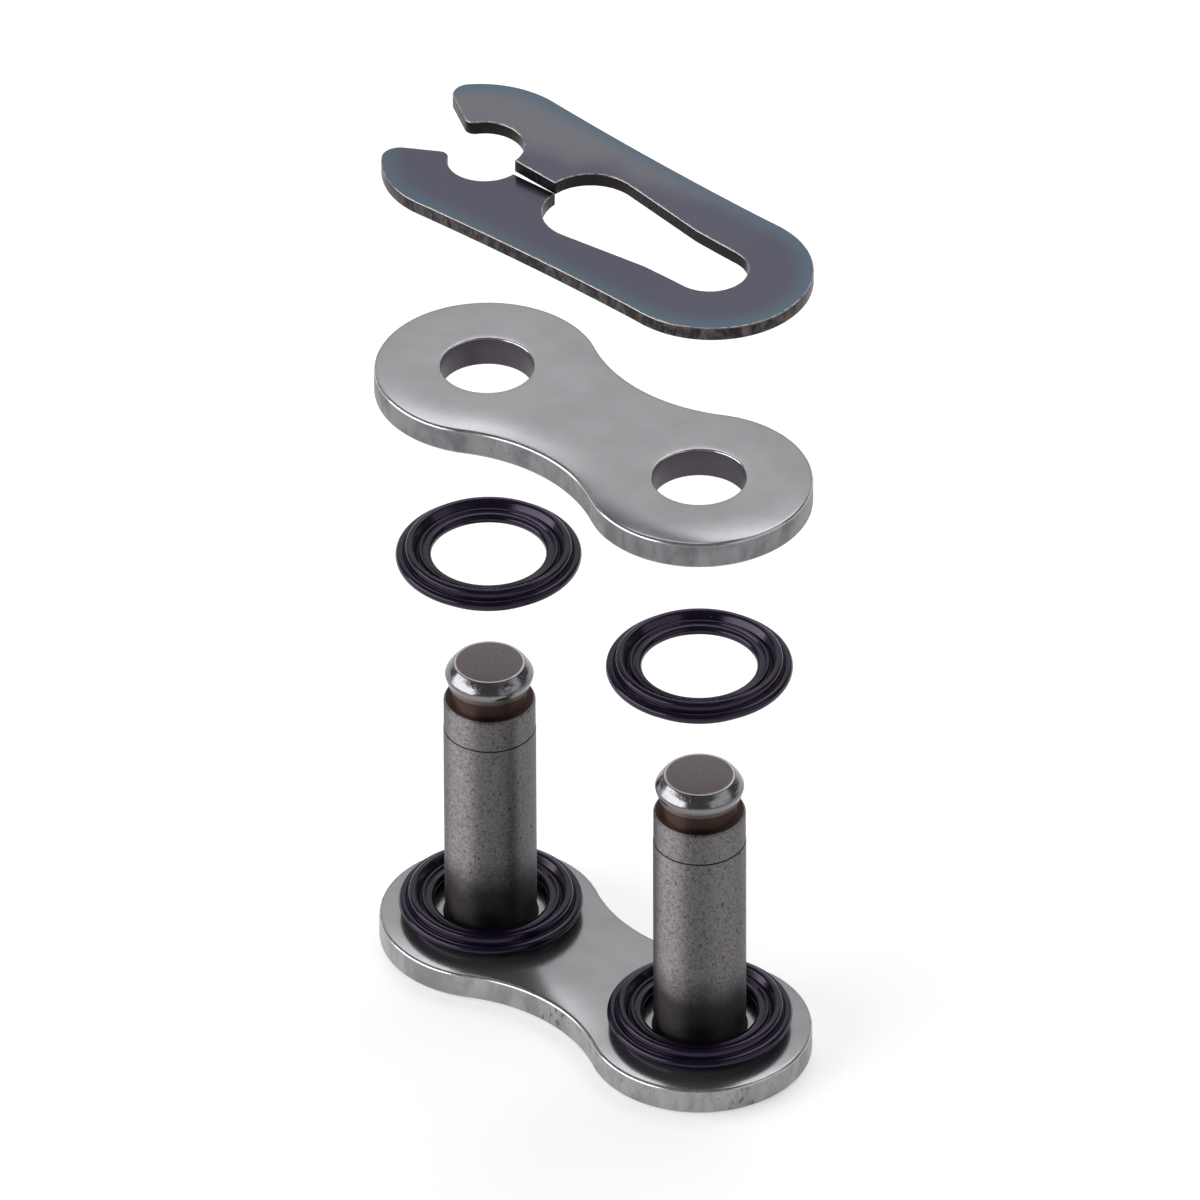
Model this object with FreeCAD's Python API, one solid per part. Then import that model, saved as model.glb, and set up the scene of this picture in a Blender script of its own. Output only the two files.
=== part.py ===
import FreeCAD, Part
import math
import os

# Clip-type connecting link of a sealed roller chain, 5/8 inch pitch, drawn taken apart.
# Millimetres. The pins stand along +Z and the origin is the middle of the base plate's
# underside. The rear pin is at -X and the front pin at +X.

# Link plates: two equal stamped plates with a round lobe at each pin and a drawn-in waist
PITCH = 15.875
LOBE_RADIUS = 6.3
WAIST_RADIUS = 9.6
PLATE_THICKNESS = 1.85
PLATE_EDGE_ROUND = 0.25
HOLE_EDGE_BEVEL = 0.12

# Pins: body between the plates, press seat for the outer plate, clip groove and head
PIN_RADIUS = 2.6
BODY_LENGTH = 12.8
SEAT_STEP = 0.02
SEAT_LENGTH = 2.0
SEAT_LIP = 0.1
GROOVE_DEPTH = 0.5
GROOVE_WIDTH = 0.95
HEAD_STEP = 0.1
HEAD_TAPER = 0.2
HEAD_BAND = 0.7
HEAD_CROWN = 0.72
CROWN_TAPER = 0.5
CROWN_BULGE = 0.06

# Foot of each pin: pressed into the base plate, swollen by the staking, flared underneath
FOOT_SWELL = 0.05
STAKE_FLARE = 0.3
STAKE_DEPTH = 0.35
STAKE_DIMPLE_RADIUS = 0.9
STAKE_DIMPLE_DEPTH = 0.3

# Seals: a thin web that carries a bead inside and outside, and ridges and lips on both faces
SEAL_PLAY = 0.6
SEAL_WIDTH = 2.0
SEAL_THICKNESS = 1.4
OUTER_BEAD = 0.29
INNER_BEAD = 0.3
RIDGE_ROUND = 0.25
RIDGE_FROM_BORE = 1.22
RIDGE_FLANK_ANGLE = 56.0
LIP_ROUND = 0.12
LIP_FROM_BORE = 0.6
LIP_DROP = 0.3
WEB_THICKNESS = 0.4

# Spring clip: flat spring steel with open jaws at the rear pin and a round closed end
CLIP_THICKNESS = 0.8
CLIP_END_RADIUS = 5.6
CLIP_END_OFFSET = 0.95
JAW_RADIUS = 5.6
JAW_OFFSET = 0.25
SIDE_DRAW_IN = 0.18
GRIP_PLAY = 0.02
SLOT_END_OFFSET = 0.8
SLOT_NECK_OFFSET = -2.1
HEAD_PLAY = 0.25
SLIT_AT_BORE = 0.14
SLIT_AT_KEYHOLE = 0.06
NOSE_ROUND = 0.55
MOUTH_WIDTH = 1.86
LEAD_IN_ANGLE = 30.0
TIP_ROUND = 1.0
LEG_RISE = 1.7
BEND_RADIUS = 100.0
BEND_START = 2.1

# Fits, and how far each loose piece is lifted off its seat
HOLE_PLAY = 0.01
SEAL_STANDOFF = 0.02
SEAL_LIFT = 12.55
OUTER_PLATE_LIFT = 22.9
CLIP_LIFT = 36.35

# Heights of the pin's shoulders, from the base plate's underside
Z_BODY = PLATE_THICKNESS
Z_SEAT = Z_BODY + BODY_LENGTH
Z_GROOVE = Z_SEAT + SEAT_LENGTH
Z_HEAD = Z_GROOVE + GROOVE_WIDTH
Z_CROWN = Z_HEAD + HEAD_BAND
Z_TOP = Z_CROWN + HEAD_CROWN

# Radii of the pin above its body, and the height that an upper seal rises from a lower one
SEAT_RADIUS = PIN_RADIUS - SEAT_STEP
GROOVE_RADIUS = PIN_RADIUS - GROOVE_DEPTH
HEAD_RADIUS = PIN_RADIUS - HEAD_STEP
HEAD_LOWER_RADIUS = HEAD_RADIUS - HEAD_TAPER
HEAD_FLAT_RADIUS = HEAD_RADIUS - CROWN_TAPER
UPPER_SEAL_RISE = BODY_LENGTH - SEAL_THICKNESS - 2 * SEAL_STANDOFF + SEAL_LIFT
REAR_X = -PITCH / 2
FRONT_X = PITCH / 2


def at(x, y, z=0.0):
    return FreeCAD.Vector(x, y, z)


def on_circle(centre_x, centre_y, radius, degrees):
    angle = math.radians(degrees)
    return at(centre_x + radius * math.cos(angle), centre_y + radius * math.sin(angle))


def line(start, end):
    return Part.LineSegment(start, end).toShape()


def arc(start, middle, end):
    return Part.Arc(start, middle, end).toShape()


def circle_arc(centre_x, centre_y, radius, start, end):
    ends = [on_circle(centre_x, centre_y, radius, angle) for angle in (start, (start + end) / 2, end)]
    return arc(*ends)


def flat_face(edges):
    return Part.Face(Part.Wire(edges))


def plate_blank():
    """Figure-of-eight plate without its holes, both rims rounded by the press."""
    waist_y = math.sqrt((LOBE_RADIUS + WAIST_RADIUS) ** 2 - FRONT_X ** 2)
    tangent = math.degrees(math.atan2(waist_y, FRONT_X))
    edges = [
        circle_arc(FRONT_X, 0, LOBE_RADIUS, tangent - 180, 180 - tangent),
        circle_arc(0, waist_y, WAIST_RADIUS, -tangent, tangent - 180),
        circle_arc(REAR_X, 0, LOBE_RADIUS, tangent, 360 - tangent),
        circle_arc(0, -waist_y, WAIST_RADIUS, 180 - tangent, tangent),
    ]
    blank = flat_face(edges).extrude(at(0, 0, PLATE_THICKNESS))
    rims = [edge for edge in blank.Edges if edge.BoundBox.ZLength < PLATE_THICKNESS / 2]
    return blank.makeFillet(PLATE_EDGE_ROUND, rims)


def turned(profile):
    """Solid of revolution about Z from edges drawn in the XZ plane."""
    return flat_face(profile).revolve(at(0, 0, 0), at(0, 0, 1), 360)


def chain_of_lines(corners):
    """Closed run of straight edges through (radius, height) corners."""
    points = [at(radius, 0, height) for radius, height in corners]
    return [line(points[i - 1], points[i]) for i in range(len(points))]


def bored(blank, hole_section):
    """The plate blank with the same turned hole at each pin."""
    for centre_x in (REAR_X, FRONT_X):
        cutter = turned(chain_of_lines([(0, 0)] + hole_section + [(0, PLATE_THICKNESS)]))
        blank = blank.cut(cutter.translated(at(centre_x, 0, 0)))
    return blank


def base_plate():
    """Plate that holds both pins; each hole fits the pin's swollen and flared foot."""
    return bored(plate_blank(), [
        (PIN_RADIUS + STAKE_FLARE, 0),
        (PIN_RADIUS + FOOT_SWELL, STAKE_DEPTH),
        (PIN_RADIUS, PLATE_THICKNESS - HOLE_EDGE_BEVEL),
        (PIN_RADIUS + HOLE_EDGE_BEVEL, PLATE_THICKNESS),
    ])


def outer_plate():
    """Loose plate that goes onto the pins' seats; its holes are bevelled on both faces."""
    hole_radius = SEAT_RADIUS + HOLE_PLAY
    plate = bored(plate_blank(), [
        (hole_radius + HOLE_EDGE_BEVEL, 0),
        (hole_radius, HOLE_EDGE_BEVEL),
        (hole_radius, PLATE_THICKNESS - HOLE_EDGE_BEVEL),
        (hole_radius + HOLE_EDGE_BEVEL, PLATE_THICKNESS),
    ])
    return plate.translated(at(0, 0, Z_SEAT + OUTER_PLATE_LIFT))


def pin(centre_x):
    """Turned pin: staked foot, body, press seat, clip groove and crowned head."""
    outline = [
        at(0, 0, STAKE_DIMPLE_DEPTH),
        at(STAKE_DIMPLE_RADIUS, 0, 0),
        at(PIN_RADIUS + STAKE_FLARE, 0, 0),
        at(PIN_RADIUS + FOOT_SWELL, 0, STAKE_DEPTH),
        at(PIN_RADIUS, 0, Z_BODY - HOLE_EDGE_BEVEL),
        at(PIN_RADIUS, 0, Z_SEAT),
        at(SEAT_RADIUS, 0, Z_SEAT),
        at(SEAT_RADIUS, 0, Z_GROOVE - SEAT_LIP),
        at(SEAT_RADIUS - SEAT_LIP, 0, Z_GROOVE),
        at(GROOVE_RADIUS, 0, Z_GROOVE),
        at(GROOVE_RADIUS, 0, Z_HEAD),
        at(HEAD_LOWER_RADIUS, 0, Z_HEAD),
        at(HEAD_RADIUS, 0, Z_CROWN),
    ]
    profile = [line(outline[i], outline[i + 1]) for i in range(len(outline) - 1)]
    crown_middle = at(
        (HEAD_RADIUS + HEAD_FLAT_RADIUS) / 2 + CROWN_BULGE,
        0,
        (Z_CROWN + Z_TOP) / 2 + CROWN_BULGE / 2,
    )
    profile.append(arc(outline[-1], crown_middle, at(HEAD_FLAT_RADIUS, 0, Z_TOP)))
    profile.append(line(at(HEAD_FLAT_RADIUS, 0, Z_TOP), at(0, 0, Z_TOP)))
    profile.append(line(at(0, 0, Z_TOP), outline[0]))
    return turned(profile).translated(at(centre_x, 0, 0))


def round_lobe(radius_out, height, lobe_radius):
    circle = Part.makeCircle(lobe_radius, at(radius_out, 0, height), at(0, 1, 0))
    return flat_face([circle])


def seal(centre_x, rise):
    """Moulded rubber ring, the same above and below its middle plane."""
    bore_radius = PIN_RADIUS + SEAL_PLAY
    inner = bore_radius + INNER_BEAD
    outer = bore_radius + SEAL_WIDTH - OUTER_BEAD
    lip = bore_radius + LIP_FROM_BORE
    ridge = bore_radius + RIDGE_FROM_BORE
    lip_height = SEAL_THICKNESS / 2 - LIP_DROP - LIP_ROUND
    ridge_height = SEAL_THICKNESS / 2 - RIDGE_ROUND
    half_web = WEB_THICKNESS / 2

    # Inner flank of the ridge: a slope that leaves its rounded crest on a tangent
    flank = math.radians(RIDGE_FLANK_ANGLE)
    touch = ridge - RIDGE_ROUND * math.sin(flank)
    touch_height = ridge_height + RIDGE_ROUND * math.cos(flank)
    flanked = [
        (touch - touch_height / math.tan(flank), 0),
        (touch, touch_height),
        (ridge + RIDGE_ROUND, ridge_height),
        (ridge + RIDGE_ROUND, 0),
    ]
    web = [(inner, half_web), (outer, half_web), (outer, -half_web), (inner, -half_web)]
    mirrored = [(radius, -height) for radius, height in reversed(flanked)]

    lobes = [flat_face(chain_of_lines(corners)) for corners in (flanked, mirrored)]
    lobes += [round_lobe(outer, 0, OUTER_BEAD), round_lobe(inner, 0, INNER_BEAD)]
    for side in (-1, 1):
        lobes.append(round_lobe(ridge, side * ridge_height, RIDGE_ROUND))
        lobes.append(round_lobe(lip, side * lip_height, LIP_ROUND))
    section = flat_face(chain_of_lines(web)).fuse(lobes).removeSplitter().Faces[0]
    ring = section.revolve(at(0, 0, 0), at(0, 0, 1), 360)
    middle = Z_BODY + SEAL_STANDOFF + SEAL_THICKNESS / 2
    return ring.translated(at(centre_x, 0, middle + rise))


def clip_half_plan():
    """Outline of one leg, on the +Y side of the clip's centre line."""
    grip_radius = GROOVE_RADIUS + GRIP_PLAY
    keyhole_radius = HEAD_RADIUS + HEAD_PLAY
    end_x = FRONT_X + CLIP_END_OFFSET
    jaw_x = REAR_X - JAW_OFFSET
    slot_x = FRONT_X + SLOT_END_OFFSET
    neck_x = FRONT_X + SLOT_NECK_OFFSET
    lead_in = math.radians(LEAD_IN_ANGLE)

    # Nose of the jaw: a small arc that runs into the grip bore and into the lead-in
    out_of_mouth = at(-math.cos(lead_in), math.sin(lead_in))
    into_jaw = at(math.sin(lead_in), math.cos(lead_in))
    nose_y = MOUTH_WIDTH / 2 + NOSE_ROUND
    nose = at(REAR_X - math.sqrt((grip_radius + NOSE_ROUND) ** 2 - nose_y ** 2), nose_y)
    to_nose = math.degrees(math.atan2(nose.y, nose.x - REAR_X))
    nose_start = on_circle(REAR_X, 0, grip_radius, to_nose)
    nose_end = nose - into_jaw * NOSE_ROUND

    # Tip of the jaw: an arc tangent to the lead-in line and to the jaw's round outside
    jaw = at(jaw_x, 0)
    tip_line = nose_end + into_jaw * TIP_ROUND - jaw
    along = tip_line.dot(out_of_mouth)
    reach = math.sqrt(along ** 2 - tip_line.dot(tip_line) + (JAW_RADIUS - TIP_ROUND) ** 2)
    tip = jaw + tip_line + out_of_mouth * (reach - along)
    tip_outward = (tip - jaw).normalize()
    tip_angle = math.degrees(math.atan2(tip_outward.y, tip_outward.x))
    tip_middle = tip + (tip_outward - into_jaw).normalize() * TIP_ROUND
    tip_end = tip - into_jaw * TIP_ROUND

    # Flank of the keyhole, tangent to its bulge and running to the neck of the slot
    neck = at(neck_x, grip_radius)
    flank = math.degrees(math.atan2(neck.y, neck.x) + math.acos(keyhole_radius / neck.Length))
    slit_rear = math.degrees(math.asin(SLIT_AT_BORE / 2 / grip_radius))
    slit_front = 180 - math.degrees(math.asin(SLIT_AT_KEYHOLE / 2 / keyhole_radius))

    side_middle = at((end_x + jaw_x) / 2, (CLIP_END_RADIUS + JAW_RADIUS) / 2 - SIDE_DRAW_IN)
    return [
        circle_arc(end_x, 0, CLIP_END_RADIUS, 0, 90),
        arc(at(end_x, CLIP_END_RADIUS), side_middle, at(jaw_x, JAW_RADIUS)),
        circle_arc(jaw_x, 0, JAW_RADIUS, 90, tip_angle),
        arc(tip + tip_outward * TIP_ROUND, tip_middle, tip_end),
        line(tip_end, nose_end),
        arc(nose_end, nose - at(0, NOSE_ROUND), nose_start),
        circle_arc(REAR_X, 0, grip_radius, to_nose, slit_rear),
        line(on_circle(REAR_X, 0, grip_radius, slit_rear), on_circle(0, 0, keyhole_radius, slit_front)),
        circle_arc(0, 0, keyhole_radius, slit_front, flank),
        line(on_circle(0, 0, keyhole_radius, flank), neck),
        line(neck, at(slot_x, grip_radius)),
        circle_arc(slot_x, 0, grip_radius, 90, 0),
        line(at(slot_x + grip_radius, 0), at(end_x + CLIP_END_RADIUS, 0)),
    ]


def rising_strip():
    """Strip of clip steel seen from the side: flat at the closed end, then bent upward."""
    bend_x = FRONT_X + BEND_START
    front_x = FRONT_X + CLIP_END_OFFSET + 2 * CLIP_END_RADIUS
    rise = math.radians(LEG_RISE)
    straight = 2 * PITCH

    def on_bend(height, angle):
        radius = BEND_RADIUS - height
        return at(bend_x - radius * math.sin(angle), 0, BEND_RADIUS - radius * math.cos(angle))

    def leg_end(height):
        return on_bend(height, rise) + at(-straight * math.cos(rise), 0, straight * math.sin(rise))

    side_view = [
        line(at(front_x, 0, 0), at(bend_x, 0, 0)),
        arc(at(bend_x, 0, 0), on_bend(0, rise / 2), on_bend(0, rise)),
        line(on_bend(0, rise), leg_end(0)),
        line(leg_end(0), leg_end(CLIP_THICKNESS)),
        line(leg_end(CLIP_THICKNESS), on_bend(CLIP_THICKNESS, rise)),
        arc(
            on_bend(CLIP_THICKNESS, rise),
            on_bend(CLIP_THICKNESS, rise / 2),
            at(bend_x, 0, CLIP_THICKNESS),
        ),
        line(at(bend_x, 0, CLIP_THICKNESS), at(front_x, 0, CLIP_THICKNESS)),
        line(at(front_x, 0, CLIP_THICKNESS), at(front_x, 0, 0)),
    ]
    return flat_face(side_view).extrude(at(0, 2 * CLIP_END_RADIUS, 0))


def spring_clip():
    """Stamped clip whose two legs spring apart in height, one up and one down."""
    reach = PITCH * math.tan(math.radians(LEG_RISE)) * 2 + CLIP_THICKNESS
    prism = flat_face(clip_half_plan()).extrude(at(0, 0, 2 * reach)).translated(at(0, 0, -reach))
    rising_leg = prism.common(rising_strip())
    middle = at(0, 0, CLIP_THICKNESS / 2)
    falling_leg = rising_leg.rotated(middle, at(1, 0, 0), 180)
    clip = rising_leg.fuse(falling_leg).removeSplitter()
    return clip.translated(at(0, 0, Z_GROOVE + CLIP_LIFT))


pieces = {
    "base_plate": base_plate(),
    "rear_pin": pin(REAR_X),
    "front_pin": pin(FRONT_X),
    "lower_seal_rear": seal(REAR_X, 0),
    "lower_seal_front": seal(FRONT_X, 0),
    "upper_seal_rear": seal(REAR_X, UPPER_SEAL_RISE),
    "upper_seal_front": seal(FRONT_X, UPPER_SEAL_RISE),
    "outer_plate": outer_plate(),
    "spring_clip": spring_clip(),
}

os.makedirs("parts", exist_ok=True)
for name, shape in pieces.items():
    solid = shape.Solids[0]
    print(name, len(shape.Solids), solid.isValid(), round(solid.Volume, 3), "mm3")
    solid.exportStep("parts/" + name + ".step")
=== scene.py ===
import math

import bpy
import numpy as np
from mathutils import Matrix, Vector
from mathutils.geometry import delaunay_2d_cdt


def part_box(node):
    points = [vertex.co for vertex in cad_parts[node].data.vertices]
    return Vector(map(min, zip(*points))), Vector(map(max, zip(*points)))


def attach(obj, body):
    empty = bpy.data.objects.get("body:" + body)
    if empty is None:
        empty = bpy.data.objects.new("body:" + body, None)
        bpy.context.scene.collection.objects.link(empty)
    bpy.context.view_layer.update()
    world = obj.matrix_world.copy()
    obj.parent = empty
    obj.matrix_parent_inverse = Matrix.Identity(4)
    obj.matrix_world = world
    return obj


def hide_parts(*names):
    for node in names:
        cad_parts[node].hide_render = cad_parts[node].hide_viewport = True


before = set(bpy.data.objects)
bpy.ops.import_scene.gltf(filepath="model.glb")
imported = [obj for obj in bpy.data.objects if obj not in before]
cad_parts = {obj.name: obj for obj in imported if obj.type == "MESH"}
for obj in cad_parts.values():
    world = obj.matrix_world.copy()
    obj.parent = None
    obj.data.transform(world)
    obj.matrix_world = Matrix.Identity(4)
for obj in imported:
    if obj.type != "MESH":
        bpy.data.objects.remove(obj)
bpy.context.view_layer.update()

# The view
# A long lens looks down on the opened link from its front right, as the photograph does.
# Angles are in degrees round the link from its front, and up from the table.
MM = 0.001
VIEW_AZIMUTH = 42.5
VIEW_ELEVATION = 35.85
VIEW_ROLL = -0.22
VIEW_DISTANCE = 1500 * MM
VIEW_TARGET = Vector((0.48, 0.0, 27.38)) * MM
VIEW_NEAR = 10 * MM
VIEW_FAR = 10000 * MM
SENSOR_WIDTH = 36.0
FOCAL_PIXELS = 26985
IMAGE_PIXELS = 1200


def direction_to(azimuth, elevation):
    """Unit vector from the link in a direction given in degrees."""
    around, above = math.radians(azimuth), math.radians(elevation)
    return Vector((
        math.sin(around) * math.cos(above),
        -math.cos(around) * math.cos(above),
        math.sin(above),
    ))


def add_object(name, data):
    """New object in the scene."""
    made = bpy.data.objects.new(name, data)
    bpy.context.scene.collection.objects.link(made)
    return made


def aim(made, direction, distance, roll=0.0):
    """Move a camera or a lamp off in a direction and turn it to face the link."""
    made.location = VIEW_TARGET + direction * distance
    made.rotation_mode = "QUATERNION"
    level = (-direction).to_track_quat("-Z", "Y")
    made.rotation_quaternion = level @ Matrix.Rotation(math.radians(roll), 4, "Z").to_quaternion()


camera_data = bpy.data.cameras.new("photo_camera")
camera_data.sensor_width = SENSOR_WIDTH
camera_data.lens = FOCAL_PIXELS * SENSOR_WIDTH / IMAGE_PIXELS
camera_data.clip_start = VIEW_NEAR
camera_data.clip_end = VIEW_FAR
camera = add_object("photo_camera", camera_data)
aim(camera, direction_to(VIEW_AZIMUTH, VIEW_ELEVATION), VIEW_DISTANCE, VIEW_ROLL)
bpy.context.scene.camera = camera
bpy.context.scene.view_settings.view_transform = "Standard"


# The studio
# A round white table with a low white screen behind it all round, a dim grey room above and
# four soft boxes. The table's extra white is for the camera and for reflections only, so its
# shadows stay.
TABLE_RADIUS = 1570 * MM
TABLE_SIDES = 64
TABLE_COLOUR = (0.84, 0.84, 0.84, 1)
TABLE_GLOW = 0.44
SCREEN_HEIGHT = 140 * MM
ROOM_COLOUR = (0.16, 0.16, 0.165, 1)
WHITE = (1, 1, 1, 1)
BLACK = (0, 0, 0, 1)
BOX_DISTANCE = 6000 * MM


def set_inputs(node, values):
    """Set a node's inputs by their names, with _ for each space."""
    for name, value in values.items():
        node.inputs[name.replace("_", " ")].default_value = value


def new_material(name, **values):
    """A material with its node tree and its Principled shader, set to the given values."""
    material = bpy.data.materials.new(name)
    material.use_nodes = True
    shader = material.node_tree.nodes["Principled BSDF"]
    set_inputs(shader, values)
    return material, material.node_tree, shader


def feed(tree, value, socket):
    """Link an output to a socket, or set the socket to a number or a colour."""
    if isinstance(value, bpy.types.NodeSocket):
        tree.links.new(value, socket)
    else:
        socket.default_value = value


def math_node(tree, operation, *values):
    """Math node on outputs or numbers. Returns its output."""
    node = tree.nodes.new("ShaderNodeMath")
    node.operation = operation
    for value, socket in zip(values, node.inputs):
        feed(tree, value, socket)
    return node.outputs[0]


def add_mesh(name, points, faces):
    """New mesh object from points in metres."""
    mesh = bpy.data.meshes.new(name)
    mesh.from_pydata(points, [], faces)
    return add_object(name, mesh)


def soft_box(name, azimuth, elevation, width, height, brightness):
    """Soft box aimed at the link. Its width and height are in degrees as seen from there."""
    lamp = bpy.data.lights.new(name, "AREA")
    lamp.shape = "RECTANGLE"
    lamp.size = 2 * BOX_DISTANCE * math.tan(math.radians(width / 2))
    lamp.size_y = 2 * BOX_DISTANCE * math.tan(math.radians(height / 2))
    lamp.energy = brightness * math.pi * lamp.size * lamp.size_y
    aim(add_object(name, lamp), direction_to(azimuth, elevation), BOX_DISTANCE)


turns = [2 * math.pi * side / TABLE_SIDES for side in range(TABLE_SIDES)]
table_edge = [(TABLE_RADIUS * math.cos(turn), TABLE_RADIUS * math.sin(turn)) for turn in turns]
table = add_mesh("table", [(x, y, 0.0) for x, y in table_edge], [tuple(range(TABLE_SIDES))])
screen_points = [(x, y, height) for height in (0.0, SCREEN_HEIGHT) for x, y in table_edge]
screen_faces = []
for side in range(TABLE_SIDES):
    beyond = (side + 1) % TABLE_SIDES
    screen_faces.append((side, side + TABLE_SIDES, beyond + TABLE_SIDES, beyond))
screen = add_mesh("screen", screen_points, screen_faces)

screen_white, tree, shader = new_material(
    "screen_white", Base_Color=BLACK, Specular_IOR_Level=0.0, Emission_Color=WHITE, Emission_Strength=1.0
)
screen.data.materials.append(screen_white)

table_white, tree, shader = new_material(
    "table_white", Base_Color=TABLE_COLOUR, Roughness=0.9, Specular_IOR_Level=0.0, Emission_Color=WHITE
)
path = tree.nodes.new("ShaderNodeLightPath")
seen = math_node(tree, "MAXIMUM", path.outputs["Is Camera Ray"], path.outputs["Is Glossy Ray"])
tree.links.new(math_node(tree, "MULTIPLY", seen, TABLE_GLOW), shader.inputs["Emission Strength"])
table.data.materials.append(table_white)

world = bpy.data.worlds.new("grey_room")
bpy.context.scene.world = world
world.use_nodes = True
world.node_tree.nodes["Background"].inputs["Color"].default_value = ROOM_COLOUR

soft_box("back_panel", 222, 35, 80, 34, 0.72)
soft_box("upper_panel", 204, 62, 48, 34, 1.9)
soft_box("left_box", -31, 19, 66, 30, 4.2)
soft_box("right_box", 102, 28, 56, 26, 1.0)


# The link plates
# Two stamped steel plates of one size, tumbled until their faces are satin and their rims
# round. The press rolls the rims over slightly. The upper plate's holes are open.
base_low, base_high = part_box("base_plate")
PIN_BOXES = [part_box(node) for node in ("rear_pin", "front_pin")]
REAR_X, FRONT_X = [(low.x + high.x) / 2 / MM for low, high in PIN_BOXES]
PLATE_THICKNESS = (base_high.z - base_low.z) / MM
LOBE_RADIUS = (base_high.y - base_low.y) / 2 / MM
WAIST_RADIUS = 9.6
PIN_RADIUS = 2.6
BASE_HOLE_RADIUS = PIN_RADIUS
OUTER_HOLE_RADIUS = 2.59
PLATE_RIM_ROUND = 0.2
PLATE_ROLL_DEPTH = 0.14
PLATE_ROLL_WIDTH = 2.4
HOLE_RIM_ROUND = 0.12
HOLE_ROLL_DEPTH = 0.02
HOLE_ROLL_WIDTH = 0.5

# How finely the rims and faces are divided
LOBE_POINTS = 150
WAIST_POINTS = 60
HOLE_POINTS = 180
ROUND_STEPS = 6
ROLL_SHARES = (0.04, 0.12, 0.24, 0.4, 0.6, 0.8, 1.0)
STEP_ONTO_FLAT = 0.04
PLATE_GRID = 0.8
EDGE_CLEARANCE = 0.6
SAME_POINT = 1e-7


def circle_loop(centre_x, radius):
    """Points on a hole's edge, evenly spaced."""
    turns = np.linspace(0, 2 * np.pi, HOLE_POINTS, endpoint=False)
    return np.stack([centre_x + radius * np.cos(turns), radius * np.sin(turns)], -1)


def plate_loop(inset):
    """Figure-of-eight edge of a plate, drawn in by inset, anticlockwise."""
    waist_y = math.sqrt((LOBE_RADIUS + WAIST_RADIUS) ** 2 - FRONT_X ** 2)
    turn = math.atan2(waist_y, FRONT_X)
    runs = []
    for half_turn, lobe_x, centre_y in ((0, FRONT_X, waist_y), (np.pi, REAR_X, -waist_y)):
        turns = np.linspace(turn - np.pi, np.pi - turn, LOBE_POINTS, endpoint=False) + half_turn
        lobe = (LOBE_RADIUS - inset) * np.stack([np.cos(turns), np.sin(turns)], -1)
        runs.append(lobe + [lobe_x, 0])
        turns = np.linspace(-turn, turn - np.pi, WAIST_POINTS, endpoint=False) + half_turn
        waist = (WAIST_RADIUS + inset) * np.stack([np.cos(turns), np.sin(turns)], -1)
        runs.append(waist + [0, centre_y])
    return np.concatenate(runs)


def rim_steps(rounding, roll_depth=0.0, roll_width=1.0):
    """(inset, drop) steps over a rolled and rounded rim, from the wall onto the flat."""
    steps = []
    at_rim = roll_depth * (1 - rounding / roll_width) ** 2
    for turn in np.linspace(0, np.pi / 2, ROUND_STEPS):
        steps.append((rounding * (1 - math.cos(turn)), at_rim + rounding * (1 - math.sin(turn))))
    for share in ROLL_SHARES if roll_depth else ():
        inset = rounding + (roll_width - rounding) * share
        steps.append((inset, roll_depth * (1 - inset / roll_width) ** 2))
    steps.append((steps[-1][0] + STEP_ONTO_FLAT, 0.0))
    return steps


def inside(points, loop):
    """Which points lie inside a closed loop."""
    x, y = points[:, :1], points[:, 1:]
    ax, ay = loop[:, 0], loop[:, 1]
    bx, by = np.roll(ax, -1), np.roll(ay, -1)
    spans = (ay > y) != (by > y)
    rise = np.where(by == ay, 1, by - ay)
    return (spans & (x < (bx - ax) * (y - ay) / rise + ax)).sum(1) % 2 == 1


def on_face(points, loops):
    """Which points lie inside the first loop and outside the others, which are holes."""
    on = inside(points, loops[0])
    for hole in loops[1:]:
        on &= ~inside(points, hole)
    return on


def edge_distance(points, loops):
    """Distance from each point to the nearest point of the loops."""
    edge = np.concatenate(loops)
    return np.sqrt(((points[:, None, :] - edge[None]) ** 2).sum(-1)).min(1)


def flat_face(loops, spacing):
    """Points added on a grid between the loops of a flat face, and even triangles over it.
    The triangles count the loops' points first, then the added ones."""
    low, high = loops[0].min(0), loops[0].max(0)
    grid_x, grid_y = np.meshgrid(np.arange(low[0], high[0], spacing), np.arange(low[1], high[1], spacing))
    inner = np.stack([grid_x.ravel(), grid_y.ravel()], -1)
    inner[:, 0] += (np.round(inner[:, 1] / spacing) % 2) * spacing / 2
    inner = inner[on_face(inner, loops)]
    inner = inner[edge_distance(inner, loops) > spacing * EDGE_CLEARANCE]
    edges, start = [], 0
    for loop in loops:
        edges += [(start + i, start + (i + 1) % len(loop)) for i in range(len(loop))]
        start += len(loop)
    points = np.concatenate(loops + [inner])
    result = delaunay_2d_cdt([Vector(point) for point in points], edges, [], 0, SAME_POINT)
    places = np.array([place[:] for place in result[0]])
    origin = [source[0] for source in result[3]]
    keep = on_face(np.array([places[list(face)].mean(0) for face in result[2]]), loops)
    return inner, [tuple(origin[i] for i in face) for face, kept in zip(result[2], keep) if kept]


def new_piece(name, points, faces):
    """Smooth piece of the link, from points in millimetres."""
    piece = add_mesh(name, (points * MM).tolist(), faces)
    piece.data.shade_smooth()
    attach(piece, "root")
    return piece


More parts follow.
